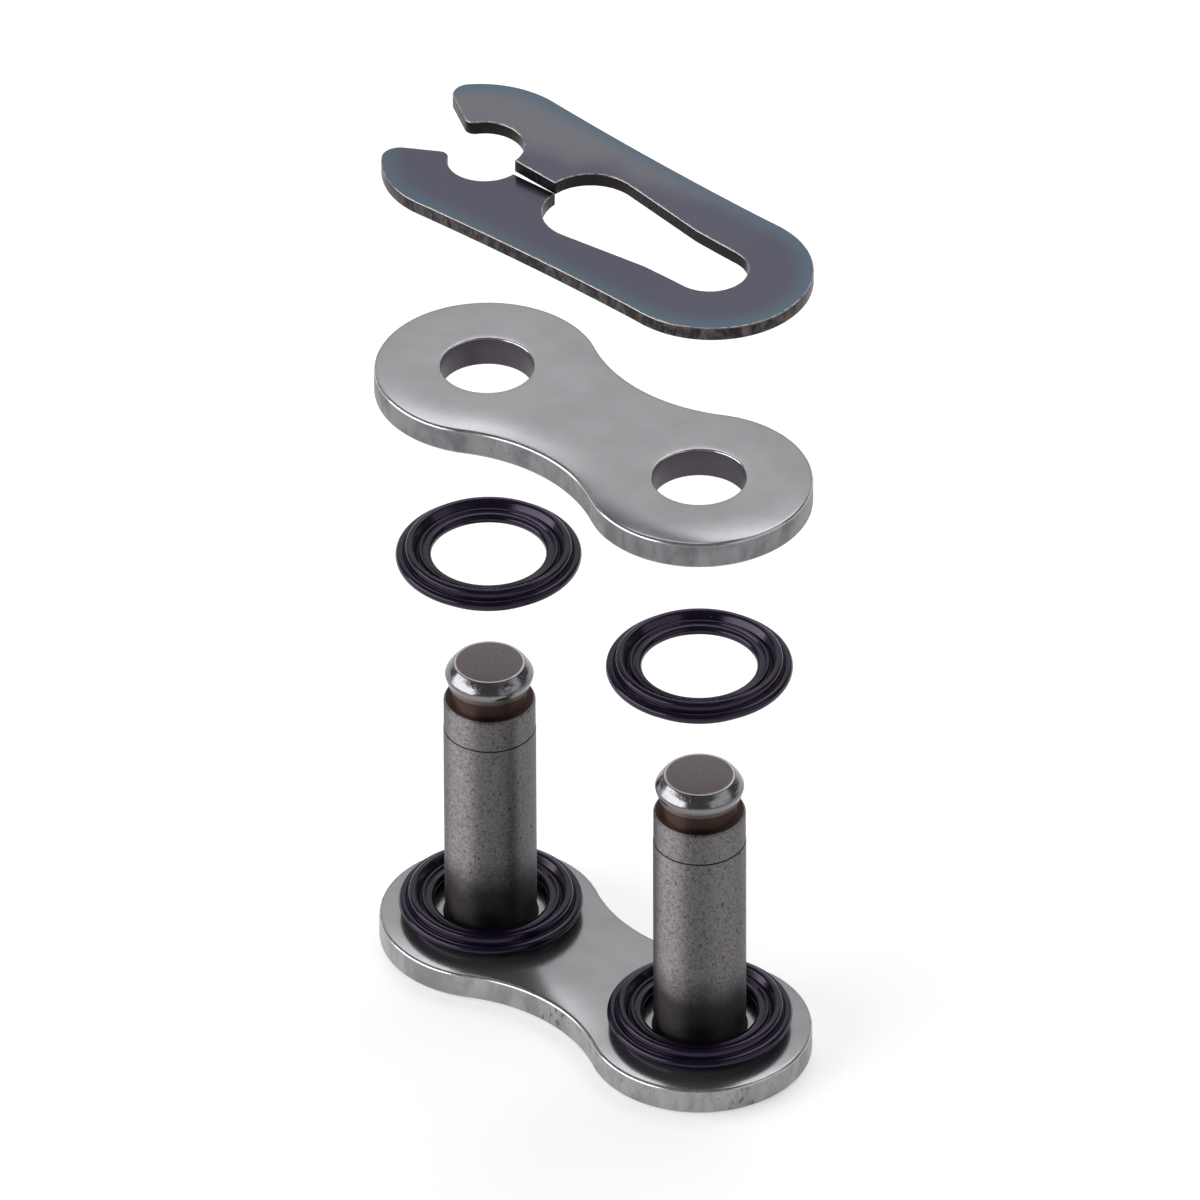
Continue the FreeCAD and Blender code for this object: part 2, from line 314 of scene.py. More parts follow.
def stamped_piece(name, contours, rims, thickness, spacing, place):
    """Closed mesh of a piece stamped from sheet. Each contour gives its loop for an inset,
    the outside first; rims holds each contour's steps, and place sets the points in space.
    The mesh keeps each point's distance from the nearest rim, in millimetres, for its rim wear and painted
    rim highlight."""
    points, distance, faces, flats, count = [], [], [], ([], []), 0
    for order, (contour, rim) in enumerate(zip(contours, rims)):
        steps = [(inset, drop) for inset, drop in rim[::-1]]
        steps += [(inset, thickness - drop) for inset, drop in rim]
        size = len(contour(0))
        for inset, height in steps:
            points.append(np.column_stack([contour(inset), np.full(size, height)]))
            distance.append(np.full(size, inset))
        for ring in range(len(steps) - 1):
            for j in range(size):
                a, b = count + ring * size + j, count + ring * size + (j + 1) % size
                faces.append((a, b, b + size, a + size) if order == 0 else (a, a + size, b + size, b))
        flats[0].extend(range(count, count + size))
        count += len(steps) * size
        flats[1].extend(range(count - size, count))
    outlines = [contour(0) for contour in contours]
    inner, triangles = flat_face([contour(rim[-1][0]) for contour, rim in zip(contours, rims)], spacing)
    for level, height in enumerate((0.0, thickness)):
        index = flats[level] + list(range(count, count + len(inner)))
        points.append(np.column_stack([inner, np.full(len(inner), height)]))
        distance.append(edge_distance(inner, outlines))
        count += len(inner)
        for triangle in triangles:
            corners = tuple(index[i] for i in triangle)
            faces.append(corners if level else corners[::-1])
    piece = new_piece(name, place(np.concatenate(points)), faces)
    stored = piece.data.attributes.new("rim_distance", "FLOAT", "POINT")
    stored.data.foreach_set("value", np.concatenate(distance).astype(np.float32))
    return piece


def link_plate(name, node, hole_radius):
    """A link plate in the place of its solid."""
    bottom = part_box(node)[0].z / MM
    contours = [plate_loop]
    contours += [lambda inset, x=x: circle_loop(x, hole_radius + inset) for x in (REAR_X, FRONT_X)]
    rims = [rim_steps(PLATE_RIM_ROUND, PLATE_ROLL_DEPTH, PLATE_ROLL_WIDTH)]
    rims += [rim_steps(HOLE_RIM_ROUND, HOLE_ROLL_DEPTH, HOLE_ROLL_WIDTH)] * 2
    plate = stamped_piece(
        name, contours, rims, PLATE_THICKNESS, PLATE_GRID, lambda points: points + [0, 0, bottom]
    )
    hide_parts(node)
    return plate


def ranged(tree, value, low, high, to_low=0.0, to_high=1.0):
    """Value mapped smoothly from one range to another, and held at its ends."""
    node = tree.nodes.new("ShaderNodeMapRange")
    node.interpolation_type = "SMOOTHSTEP"
    sockets = ("Value", "From Min", "From Max", "To Min", "To Max")
    for socket, number in zip(sockets, (value, low, high, to_low, to_high)):
        feed(tree, number, node.inputs[socket])
    return node.outputs["Result"]


def mixed(tree, mask, first, second):
    """Colour mixed from first to second by a mask."""
    node = tree.nodes.new("ShaderNodeMix")
    node.data_type = "RGBA"
    tree.links.new(mask, node.inputs["Factor"])
    for socket, colour in ((node.inputs[6], first), (node.inputs[7], second)):
        feed(tree, colour + (1,) if isinstance(colour, tuple) else colour, socket)
    return node.outputs[2]


def noise(tree, vector, scale, detail, roughness=0.6, distortion=0.0):
    """Noise about the value 0.5 on coordinates in millimetres."""
    node = tree.nodes.new("ShaderNodeTexNoise")
    set_inputs(node, {"Detail": detail, "Roughness": roughness, "Distortion": distortion})
    tree.links.new(vector, node.inputs["Vector"])
    feed(tree, scale, node.inputs["Scale"])
    return node.outputs[0]


def stretched(tree, vector, factors):
    """Coordinates scaled by their own factor along each axis."""
    node = tree.nodes.new("ShaderNodeVectorMath")
    node.operation = "MULTIPLY"
    tree.links.new(vector, node.inputs[0])
    node.inputs[1].default_value = factors
    return node.outputs[0]


def separated(tree, vector):
    """X, Y and Z of a vector."""
    node = tree.nodes.new("ShaderNodeSeparateXYZ")
    tree.links.new(vector, node.inputs[0])
    return list(node.outputs)


def in_millimetres(tree):
    """The piece's own coordinates in millimetres."""
    coordinates = tree.nodes.new("ShaderNodeTexCoord")
    return stretched(tree, coordinates.outputs["Object"], (1 / MM, 1 / MM, 1 / MM))


def levelness(tree):
    """1 on a level face, 0 on an upright wall."""
    geometry = tree.nodes.new("ShaderNodeNewGeometry")
    return math_node(tree, "ABSOLUTE", separated(tree, geometry.outputs["Normal"])[2])


def length_of(tree, first, second):
    """Length of the diagonal of two runs at right angles."""
    squares = [math_node(tree, "MULTIPLY", run, run) for run in (first, second)]
    return math_node(tree, "SQRT", math_node(tree, "ADD", *squares))


def new_group(name, inputs, outputs):
    """New shader node group on number sockets, its inputs given with their values. Returns
    its tree, its inputs and outputs as seen inside it, and the piece's coordinates in
    millimetres."""
    group = bpy.data.node_groups.new(name, "ShaderNodeTree")
    for socket, value in inputs.items():
        made = group.interface.new_socket(socket, in_out="INPUT", socket_type="NodeSocketFloat")
        made.default_value = value
    for socket in outputs:
        group.interface.new_socket(socket, in_out="OUTPUT", socket_type="NodeSocketFloat")
    source = group.nodes.new("NodeGroupInput")
    result = group.nodes.new("NodeGroupOutput")
    return group, source.outputs, result.inputs, in_millimetres(group)


# Where most of a noise's values lie
NOISE_SPREAD = (0.3, 0.7)


def cloudy_steel_group():
    """Clouds and fine speckle that a tumbled or oiled steel face shows."""
    inputs = {"Cloud Scale": 0.4, "Speckle Scale": 9.0}
    group, source, result, place = new_group("cloudy_steel", inputs, ("Clouds", "Speckle"))
    clouds = noise(group, place, source["Cloud Scale"], detail=5, roughness=0.55)
    speckle = noise(group, place, source["Speckle Scale"], detail=3, roughness=0.7)
    group.links.new(clouds, result["Clouds"])
    group.links.new(speckle, result["Speckle"])
    return group


# Stretches are longest through the sheet, and ranges run from none to full
CLOUD_STRETCH = (1, 1, 0.6)
STREAK_STRETCH = (1, 1, 0.22)
STREAK_SCALE = 1.7
STREAK_STRENGTH = 0.055
TEAR_STRETCH = (1, 1, 0.5)
TEAR_SCALE = 3.4
TEAR_RANGE = (0.66, 0.78)
PATCH_SCALE = 0.2
PATCH_FULL = 0.9
PATCH_STRENGTH = 0.26
WAIST_REACH = (5.0, 1.5)
WAIST_STRENGTH = 0.12
WALL_RANGE = (0.4, 0.12)
RIM_RANGE = (0.2, 0.5)
BREAK_RANGE = (0.32, 0.6)
LEAST_WEAR_AND_HIGHLIGHT = 0.2
WEAR_AND_HIGHLIGHT_FADE = (1.0, 0.6)


def sheared_wall_group():
    """Wall left by the punch: a cloudy, streaked burnish with small torn, dark spots, which
    are more common at the waist."""
    inputs = {"Cloud Scale": 0.8, "Torn Share": 0.5}
    group, source, result, place = new_group("sheared_wall", inputs, ("Wall", "Burnish", "Torn"))
    clouds = stretched(group, place, CLOUD_STRETCH)
    clouds = noise(group, clouds, source["Cloud Scale"], detail=6, distortion=0.4)
    streaks = noise(group, stretched(group, place, STREAK_STRETCH), STREAK_SCALE, detail=4, roughness=0.65)
    streaks = ranged(group, streaks, *NOISE_SPREAD, -STREAK_STRENGTH, STREAK_STRENGTH)
    burnish = math_node(group, "ADD", clouds, streaks)
    from_waist = math_node(group, "ABSOLUTE", separated(group, place)[0])
    at_waist = ranged(group, from_waist, *WAIST_REACH, 0.0, WAIST_STRENGTH)
    patches = noise(group, place, PATCH_SCALE, detail=1, roughness=0.5)
    patches = math_node(group, "ADD", patches, at_waist)
    start = math_node(group, "SUBTRACT", 1.0, source["Torn Share"])
    share = ranged(group, patches, start, PATCH_FULL, 0.0, PATCH_STRENGTH)
    fine = noise(group, stretched(group, place, TEAR_STRETCH), TEAR_SCALE, detail=4)
    torn = ranged(group, math_node(group, "ADD", fine, share), *TEAR_RANGE)
    group.links.new(ranged(group, levelness(group), *WALL_RANGE), result["Wall"])
    group.links.new(burnish, result["Burnish"])
    group.links.new(torn, result["Torn"])
    return group


def rim_wear_and_highlight_group():
    """Bright line on a rim, partly wear from handling and partly a painted highlight, broken up by small
    noise.
    """
    group, source, result, place = new_group("rim_wear_and_highlight", {"Width": 0.1, "Break Scale": 3.0}, ("Wear And Highlight",))
    stored = group.nodes.new("ShaderNodeAttribute")
    stored.attribute_name = "rim_distance"
    breaks = noise(group, place, source["Break Scale"], detail=4, roughness=0.65)
    reach = math_node(group, "MULTIPLY", source["Width"], ranged(group, breaks, *BREAK_RANGE, LEAST_WEAR_AND_HIGHLIGHT))
    share = math_node(group, "DIVIDE", stored.outputs["Fac"], reach)
    off_wall = ranged(group, levelness(group), *RIM_RANGE)
    wear_and_highlight = math_node(group, "MULTIPLY", ranged(group, share, *WEAR_AND_HIGHLIGHT_FADE), off_wall)
    group.links.new(wear_and_highlight, result["Wear And Highlight"])
    return group


def pin_axis_group():
    """Distance in millimetres from the axis of the nearer pin."""
    group, _, result, place = new_group("pin_axis", {}, ("Distance",))
    x, y = separated(group, place)[:2]
    along = math_node(group, "SUBTRACT", math_node(group, "ABSOLUTE", x), FRONT_X)
    group.links.new(length_of(group, along, y), result["Distance"])
    return group


def placed(tree, group, **values):
    """A group's outputs in a material, with its own values."""
    node = tree.nodes.new("ShaderNodeGroup")
    node.node_tree = group
    set_inputs(node, values)
    return node.outputs


def bumped(tree, shader, height, depth):
    """Bump on the shader's normal; depth in millimetres."""
    node = tree.nodes.new("ShaderNodeBump")
    node.inputs["Distance"].default_value = depth * MM
    tree.links.new(height, node.inputs["Height"])
    tree.links.new(node.outputs[0], shader.inputs["Normal"])


cloudy_steel = cloudy_steel_group()
sheared_wall = sheared_wall_group()
rim_wear_and_highlight = rim_wear_and_highlight_group()
pin_axis = pin_axis_group()

# Each pair is the dark and the light of the cloudy steel
LOWER_FACE_STEEL = ((0.3, 0.295, 0.308), (0.335, 0.33, 0.343))
UPPER_FACE_STEEL = ((0.335, 0.33, 0.345), (0.37, 0.365, 0.38))
# The lower plate's walls are painted lighter and the upper plate's walls darker: painted light and shade,
# as lit and shaded copies of one sheared steel.
LOWER_WALL_STEEL_PAINTED_LIGHTER = ((0.25, 0.245, 0.254), (0.38, 0.375, 0.385))
UPPER_WALL_STEEL_PAINTED_DARKER = ((0.14, 0.135, 0.144), (0.235, 0.23, 0.241))
TORN_STEEL = (0.06, 0.054, 0.06)
TORN_DARKENING = 0.65
# Painted shade: the hole walls round the pins are painted dark where shade falls between plate and pin.
BORE_PAINTED_SHADE = (0.085, 0.074, 0.088)
BORE_SHADE_REACH = (3.2, 2.9)
# The bright rim colour is partly wear from handling and partly a painted highlight along the rims.
RIM_WEAR_AND_HIGHLIGHT_STEEL = (0.5, 0.485, 0.48)
OIL_FILM = 0.16
FACE_ROUGHNESS = (0.17, 0.22)
WALL_ROUGHENING = 0.24
CLOUD_RELIEF = 0.1
PLATE_RELIEF = 0.02


def plate_steel_material(name, face_steel, wall_steel_with_painted_light):
    """Tumbled steel with sheared walls, its faces thinly oiled; the walls carry painted light and shade
    per plate, and the hole walls round the pins carry painted shade.
    """
    material, tree, shader = new_material(name)
    steel = placed(tree, cloudy_steel, Cloud_Scale=0.3, Speckle_Scale=7.0)
    edge = placed(tree, sheared_wall, Cloud_Scale=0.55, Torn_Share=0.5)
    wear_and_highlight = placed(tree, rim_wear_and_highlight, Width=0.14, Break_Scale=1.6)["Wear And Highlight"]
    in_shaded_bore = ranged(tree, placed(tree, pin_axis)["Distance"], *BORE_SHADE_REACH)
    torn = math_node(tree, "MULTIPLY", edge["Torn"], math_node(tree, "SUBTRACT", 1.0, in_shaded_bore))
    face_colour = mixed(tree, ranged(tree, steel["Clouds"], 0.35, 0.65), *face_steel)
    # Wall colour with painted light: lighter on the lower plate, darker on the upper
    wall_colour = mixed(tree, ranged(tree, edge["Burnish"], 0.32, 0.66), *wall_steel_with_painted_light)
    wall_colour = mixed(tree, math_node(tree, "MULTIPLY", torn, TORN_DARKENING), wall_colour, TORN_STEEL)
    # Painted shade on the hole walls round the pins
    wall_colour = mixed(tree, in_shaded_bore, wall_colour, BORE_PAINTED_SHADE)
    colour = mixed(tree, edge["Wall"], face_colour, wall_colour)
    # Rims brightened: partly wear, partly painted highlight
    tree.links.new(mixed(tree, wear_and_highlight, colour, RIM_WEAR_AND_HIGHLIGHT_STEEL), shader.inputs["Base Color"])
    metallic = ranged(tree, edge["Wall"], 0.0, 1.0, 1.0 - OIL_FILM, 1.0)
    tree.links.new(metallic, shader.inputs["Metallic"])
    roughness = ranged(tree, steel["Speckle"], *NOISE_SPREAD, *FACE_ROUGHNESS)
    roughening = math_node(tree, "MULTIPLY", edge["Wall"], WALL_ROUGHENING)
    tree.links.new(math_node(tree, "ADD", roughness, roughening), shader.inputs["Roughness"])
    relief = math_node(tree, "MULTIPLY", edge["Wall"], torn)
    relief = math_node(tree, "ADD", relief, math_node(tree, "MULTIPLY", steel["Clouds"], CLOUD_RELIEF))
    bumped(tree, shader, relief, PLATE_RELIEF)
    return material


lower_plate = link_plate("lower_link_plate", "base_plate", BASE_HOLE_RADIUS)
lower_steel = plate_steel_material("lower_plate_steel", LOWER_FACE_STEEL, LOWER_WALL_STEEL_PAINTED_LIGHTER)
lower_plate.data.materials.append(lower_steel)
upper_plate = link_plate("upper_link_plate", "outer_plate", OUTER_HOLE_RADIUS)
upper_steel = plate_steel_material("upper_plate_steel", UPPER_FACE_STEEL, UPPER_WALL_STEEL_PAINTED_DARKER)
upper_plate.data.materials.append(upper_steel)


# The pins
# Two turned and ground steel pins, hardened, with fine dark pits from the oil quench. Their
# feet are staked into the lower plate, and their tops carry a groove and a crowned head.
SEAT_RADIUS = 2.58
GROOVE_RADIUS = 2.1
HEAD_RADIUS = 2.5
SEAT_Z = PLATE_THICKNESS + 12.8
GROOVE_Z = SEAT_Z + 2.0
HEAD_Z = GROOVE_Z + 0.95
CROWN_Z = HEAD_Z + 0.7
TOP_Z = PIN_BOXES[0][1].z / MM

# Radius, height and easing of each corner, from the dimple underneath to the top's middle
PIN_CORNERS = [
    (0.0, 0.3, 0.0),
    (0.9, 0.0, 0.1),
    (2.88, 0.0, 0.04),
    (2.65, 0.35, 0.05),
    (PIN_RADIUS, 1.73, 0.0),
    (PIN_RADIUS, SEAT_Z - 0.045, 0.01),
    (2.56, SEAT_Z - 0.02, 0.005),
    (2.56, SEAT_Z + 0.02, 0.005),
    (SEAT_RADIUS, SEAT_Z + 0.04, 0.01),
    (SEAT_RADIUS, GROOVE_Z - 0.14, 0.05),
    (2.45, GROOVE_Z, 0.03),
    (2.13, GROOVE_Z, 0.0),
    (GROOVE_RADIUS, GROOVE_Z + 0.03, 0.0),
    (GROOVE_RADIUS, HEAD_Z - 0.05, 0.0),
    (2.15, HEAD_Z, 0.0),
    (2.3, HEAD_Z, 0.04),
    (HEAD_RADIUS, CROWN_Z - 0.03, 0.1),
    (2.46, CROWN_Z + 0.12, 0.05),
    (2.28, TOP_Z - 0.31, 0.12),
    (2.0, TOP_Z, 0.04),
    (0.0, TOP_Z, 0.0),
]
PIN_SIDES = 160
EASING_STEPS = 5
EASING_GUARD = 0.25


def eased(corners):
    """Profile points from (radius, height, easing) corners; each corner with an easing is
    rounded off, that far along its two sides, with a close point beyond each end."""
    points = []
    for i, (radius, height, easing) in enumerate(corners):
        corner = np.array([radius, height])
        if not easing:
            points.append(corner)
            continue
        before = np.array(corners[i - 1][:2]) - corner
        after = np.array(corners[i + 1][:2]) - corner
        start = corner + before / np.linalg.norm(before) * easing
        end = corner + after / np.linalg.norm(after) * easing
        points.append(start + (start - corner) * EASING_GUARD)
        for t in np.linspace(0, 1, EASING_STEPS):
            points.append(start * (1 - t) ** 2 + corner * 2 * t * (1 - t) + end * t ** 2)
        points.append(end + (end - corner) * EASING_GUARD)
    return np.array(points)


def turned_piece(name, profile, centre_x, sides, closed_loop=False):
    """Closed mesh turned about an upright axis. A profile that starts and ends on the axis
    is capped by its first and last points; a closed loop makes a ring."""
    turns = np.linspace(0, 2 * np.pi, sides, endpoint=False)
    round_about = np.stack([np.cos(turns), np.sin(turns), np.zeros(sides)], -1)
    rings = profile if closed_loop else profile[1:-1]
    points = np.concatenate([round_about * radius + [centre_x, 0, height] for radius, height in rings])
    faces = []
    for ring in range(len(rings) if closed_loop else len(rings) - 1):
        low, high = ring * sides, (ring + 1) % len(rings) * sides
        faces += [(low + j, low + (j + 1) % sides, high + (j + 1) % sides, high + j) for j in range(sides)]
    if not closed_loop:
        for end, ring in ((0, 0), (-1, len(rings) - 1)):
            points = np.concatenate([points, [[centre_x, 0, profile[end][1]]]])
            tip, low = len(points) - 1, ring * sides
            fan = [(tip, low + (j + 1) % sides, low + j) for j in range(sides)]
            faces += fan if end == 0 else [face[::-1] for face in fan]
    return new_piece(name, points, faces)


# Heights between which each finish takes over from the one below it
GROOVE_START = (GROOVE_Z - 0.04, GROOVE_Z - 0.01)
BAND_START = (HEAD_Z, HEAD_Z + 0.1)
CROWN_START = (HEAD_Z + 0.2, HEAD_Z + 0.55)
POLISH_START = (HEAD_Z + 0.3, HEAD_Z + 0.5)
TOP_START = (TOP_Z - 0.004, TOP_Z - 0.002)

PIN_STEEL = (0.14, 0.13, 0.136)
PIN_STEEL_LIGHT = (0.31, 0.294, 0.303)
PIN_PIT_AND_SHADE = (0.02, 0.016, 0.018)
PIT_SCALE = 5.4
PIT_STRETCH = (1, 1, 0.8)
PIT_RANGE = (0.42, 0.35)
PIT_DARKENING = 0.72
PIT_DEPTH = 0.8
PIN_RELIEF = 0.005
# The pins are painted darker towards the foot, below a wandering edge.
FOOT_DARKENING = 0.87
FOOT_DARK_EDGE = (8.5, 5.6)
FOOT_DARK_WANDER = 2.4
# Painted shade: a dark ring line painted into the small notch at the seat.
SEAT_NOTCH_SHADE = (0.06, 0.02)
GROOVE_STEEL = (0.07, 0.043, 0.037)
HEAD_BAND_STEEL = (0.14, 0.118, 0.1)
CROWN_STEEL = (0.205, 0.2, 0.214)
TOP_STEEL = (0.115, 0.098, 0.1)
TOP_STEEL_LIGHT = (0.155, 0.134, 0.136)
# Painted highlight: a bright ring painted on the top face next to its rim.
TOP_RIM_HIGHLIGHT = (0.5, 0.48, 0.47)
TOP_RIM_HIGHLIGHT_REACH = (1.84, 1.92)
GROUND_ROUGHNESS = (0.52, 0.62)
CROWN_POLISH = 0.4
TOP_ROUGHENING = 0.27
GRINDING_GRAIN = 0.9


def pin_steel_material():
    """Ground steel, darker towards the foot, browned in the groove, polished on the crown and dull
    on the top, with painted shade in the seat's notch and a painted highlight round the top's rim."""
    material, tree, shader = new_material("ground_pin_steel", Metallic=1.0, Anisotropic_Rotation=0.25)
    place = in_millimetres(tree)
    height = separated(tree, place)[2]
    steel = placed(tree, cloudy_steel, Cloud_Scale=0.6, Speckle_Scale=6.0)
    from_axis = placed(tree, pin_axis)["Distance"]
    on_crown = ranged(tree, height, *POLISH_START)
    on_top = ranged(tree, height, *TOP_START)
    pits = noise(tree, stretched(tree, place, PIT_STRETCH), PIT_SCALE, detail=3, roughness=0.7)
    pits = ranged(tree, pits, *PIT_RANGE, 0.0, PIT_DARKENING)
    # Darker towards the foot
    foot_dark_edge = math_node(tree, "ADD", height, math_node(tree, "MULTIPLY", steel["Clouds"], FOOT_DARK_WANDER))
    foot_dark = ranged(tree, foot_dark_edge, *FOOT_DARK_EDGE, 0.0, FOOT_DARKENING)
    colour = mixed(tree, ranged(tree, steel["Speckle"], 0.25, 0.72), PIN_STEEL, PIN_STEEL_LIGHT)
    colour = mixed(tree, math_node(tree, "MAXIMUM", pits, foot_dark), colour, PIN_PIT_AND_SHADE)
    # Painted shade in the seat's notch
    from_seat = math_node(tree, "ABSOLUTE", math_node(tree, "SUBTRACT", height, SEAT_Z))
    colour = mixed(tree, ranged(tree, from_seat, *SEAT_NOTCH_SHADE), colour, PIN_PIT_AND_SHADE)
    colour = mixed(tree, ranged(tree, height, *GROOVE_START), colour, GROOVE_STEEL)
    colour = mixed(tree, ranged(tree, height, *BAND_START), colour, HEAD_BAND_STEEL)
    colour = mixed(tree, ranged(tree, height, *CROWN_START), colour, CROWN_STEEL)
    top = mixed(tree, ranged(tree, steel["Speckle"], 0.35, 0.65), TOP_STEEL, TOP_STEEL_LIGHT)
    # Painted highlight round the top's rim
    top = mixed(tree, ranged(tree, from_axis, *TOP_RIM_HIGHLIGHT_REACH), top, TOP_RIM_HIGHLIGHT)
    tree.links.new(mixed(tree, on_top, colour, top), shader.inputs["Base Color"])
    roughness = ranged(tree, steel["Speckle"], *NOISE_SPREAD, *GROUND_ROUGHNESS)
    roughness = math_node(tree, "SUBTRACT", roughness, math_node(tree, "MULTIPLY", on_crown, CROWN_POLISH))
    roughness = math_node(tree, "ADD", roughness, math_node(tree, "MULTIPLY", on_top, TOP_ROUGHENING))
    tree.links.new(roughness, shader.inputs["Roughness"])
    ground = math_node(tree, "SUBTRACT", 1.0, on_crown)
    tree.links.new(math_node(tree, "MULTIPLY", ground, GRINDING_GRAIN), shader.inputs["Anisotropic"])
    tangent = tree.nodes.new("ShaderNodeTangent")
    tangent.direction_type = "RADIAL"
    tangent.axis = "Z"
    tree.links.new(tangent.outputs[0], shader.inputs["Tangent"])
    relief = math_node(tree, "SUBTRACT", steel["Speckle"], math_node(tree, "MULTIPLY", pits, PIT_DEPTH))
    bumped(tree, shader, relief, PIN_RELIEF)
    return material


pin_steel = pin_steel_material()
pin_profile = eased(PIN_CORNERS)
for side, centre_x in (("rear", REAR_X), ("front", FRONT_X)):
    pin = turned_piece("ground_pin_" + side, pin_profile, centre_x, PIN_SIDES)
    pin.data.materials.append(pin_steel)
    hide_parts(side + "_pin")


# The seal rings
# Four moulded rubber rings, oiled and nearly black. A thin web joins a bead at the bore and a
# bead at the rim, with one ridge and one lip on each face that press on the plates.
SEAL_NODES = ["lower_seal_rear", "lower_seal_front", "upper_seal_rear", "upper_seal_front"]
seal_low, seal_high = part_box(SEAL_NODES[0])
SEAL_HALF = (seal_high.z - seal_low.z) / 2 / MM
SEAL_OUTER = (seal_high.y - seal_low.y) / 2 / MM
SEAL_BORE = 3.2
SEAL_WEB_HALF = 0.2
SEAL_STEPS = 96
SEAL_SIDES = 170

# Radius, height and rounding of each lobe, from the bore outwards
INNER_BEAD = (SEAL_BORE + 0.3, 0.0, 0.3)
SEAL_LIP = (SEAL_BORE + 0.6, SEAL_HALF - 0.42, 0.12)
SEAL_RIDGE = (SEAL_BORE + 1.22, SEAL_HALF - 0.25, 0.25)
OUTER_BEAD = (SEAL_OUTER - 0.29, 0.0, 0.29)
RIDGE_FLANK = math.radians(56)


def seal_section():
    """Closed outline of a seal: its lobes, its web and the sloping inner flank of its ridge."""
    even = np.linspace(0, 1, SEAL_STEPS)
    share = 0.5 * (1 - np.cos(np.pi * even)) / 2 + 0.5 * even
    reach = SEAL_BORE + (SEAL_OUTER - SEAL_BORE) * share
    top = np.where((reach > INNER_BEAD[0]) & (reach < OUTER_BEAD[0]), SEAL_WEB_HALF, 0.0)
    for radius, height, rounding in (INNER_BEAD, SEAL_LIP, SEAL_RIDGE, OUTER_BEAD):
        beside = np.clip(rounding ** 2 - (reach - radius) ** 2, 0, None)
        top = np.maximum(top, np.where(beside > 0, height + np.sqrt(beside), 0.0))
    radius, height, rounding = SEAL_RIDGE
    touch = radius - rounding * math.sin(RIDGE_FLANK)
    slope = height + rounding * math.cos(RIDGE_FLANK) + (reach - touch) * math.tan(RIDGE_FLANK)
    top = np.where(reach < touch, np.maximum(top, slope), top)
    top[1:-1] = 0.2 * top[:-2] + 0.6 * top[1:-1] + 0.2 * top[2:]
    top[[0, -1]] = 0
    upper = np.stack([reach, top], -1)
    return np.concatenate([upper[::-1], (upper * [1, -1])[1:-1]])


RUBBER = (0.0035, 0.0018, 0.0085)
RUBBER_BLOOM = (0.006, 0.0035, 0.013)
RUBBER_DUST = (0.16, 0.155, 0.17)
RUBBER_SHEEN = (0.86, 0.71, 1.0, 1)
RUBBER_ROUGHNESS = (0.15, 0.22)
DUST_SCALE = 6.0
DUST_RANGE = (0.74, 0.79)
RUBBER_RELIEF = 0.003


def rubber_material():
    """Moulded rubber with a faint bloom, a violet sheen and a few specks of dust."""
    material, tree, shader = new_material(
        "moulded_rubber", Specular_IOR_Level=0.38, Specular_Tint=RUBBER_SHEEN
    )
    skin = placed(tree, cloudy_steel, Cloud_Scale=0.8, Speckle_Scale=9.0)
    bloom = mixed(tree, ranged(tree, skin["Clouds"], 0.4, 0.7), RUBBER, RUBBER_BLOOM)
    dust = noise(tree, in_millimetres(tree), DUST_SCALE, detail=2, roughness=0.5)
    dust = ranged(tree, dust, *DUST_RANGE)
    tree.links.new(mixed(tree, dust, bloom, RUBBER_DUST), shader.inputs["Base Color"])
    roughness = ranged(tree, skin["Speckle"], *NOISE_SPREAD, *RUBBER_ROUGHNESS)
    tree.links.new(roughness, shader.inputs["Roughness"])
    bumped(tree, shader, skin["Speckle"], RUBBER_RELIEF)
    return material


rubber = rubber_material()
section = seal_section()
for node in SEAL_NODES:
    low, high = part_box(node)
    centre = (low + high) / 2 / MM
    seal = turned_piece("rubber_" + node, section + [0, centre.z], centre.x, SEAL_SIDES, closed_loop=True)
    seal.data.materials.append(rubber)
    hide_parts(node)


# The spring clip
# Stamped from hardened spring steel and blued. Its jaws grip the rear pin, a slot leads to the
# front pin, and its two legs spring apart in height until it is pushed onto the pins.
clip_low, clip_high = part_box("spring_clip")
CLIP_THICKNESS = 0.8
CLIP_UNDERSIDE = (clip_low.z + clip_high.z) / 2 / MM - CLIP_THICKNESS / 2
CLIP_END_RADIUS = 5.6
CLIP_END_X = clip_high.x / MM - CLIP_END_RADIUS
JAW_RADIUS = 5.6
JAW_X = REAR_X - 0.25
SIDE_Y = (CLIP_END_RADIUS + JAW_RADIUS) / 2 - 0.18
GRIP_RADIUS = 2.12
KEYHOLE_RADIUS = 2.75
SLOT_END_X = FRONT_X + 0.8
SLOT_NECK_X = FRONT_X - 2.1
SLIT_AT_BORE = 0.14
SLIT_AT_KEYHOLE = 0.06
NOSE_ROUND = 0.55
TIP_ROUND = 1.0
MOUTH_WIDTH = 1.86
LEAD_IN = math.radians(30)
LEG_RISE = math.radians(1.7)
BEND_RADIUS = 100.0
BEND_X = FRONT_X + 2.1
CLIP_RIM_ROUND = 0.06
CLIP_GRID = 0.45
ROUND_SPACING = 0.11
GRIP_SPACING = 0.09
NOSE_SPACING = 0.07
SLIT_SPACING = 0.15
STRAIGHT_SPACING = 0.2


def arc_run(centre, radius, start, end, spacing=ROUND_SPACING):
    """Points on an arc from one angle to another, without the last one."""
    count = max(4, int(abs(end - start) * radius / spacing))
    turns = np.linspace(start, end, count, endpoint=False)
    return np.stack([centre[0] + radius * np.cos(turns), centre[1] + radius * np.sin(turns)], -1)


def line_run(start, end, spacing=STRAIGHT_SPACING):
    """Points on a line, without its end."""
    start, end = np.array(start), np.array(end)
    count = max(2, int(np.linalg.norm(end - start) / spacing))
    return start + (end - start) * np.linspace(0, 1, count, endpoint=False)[:, None]


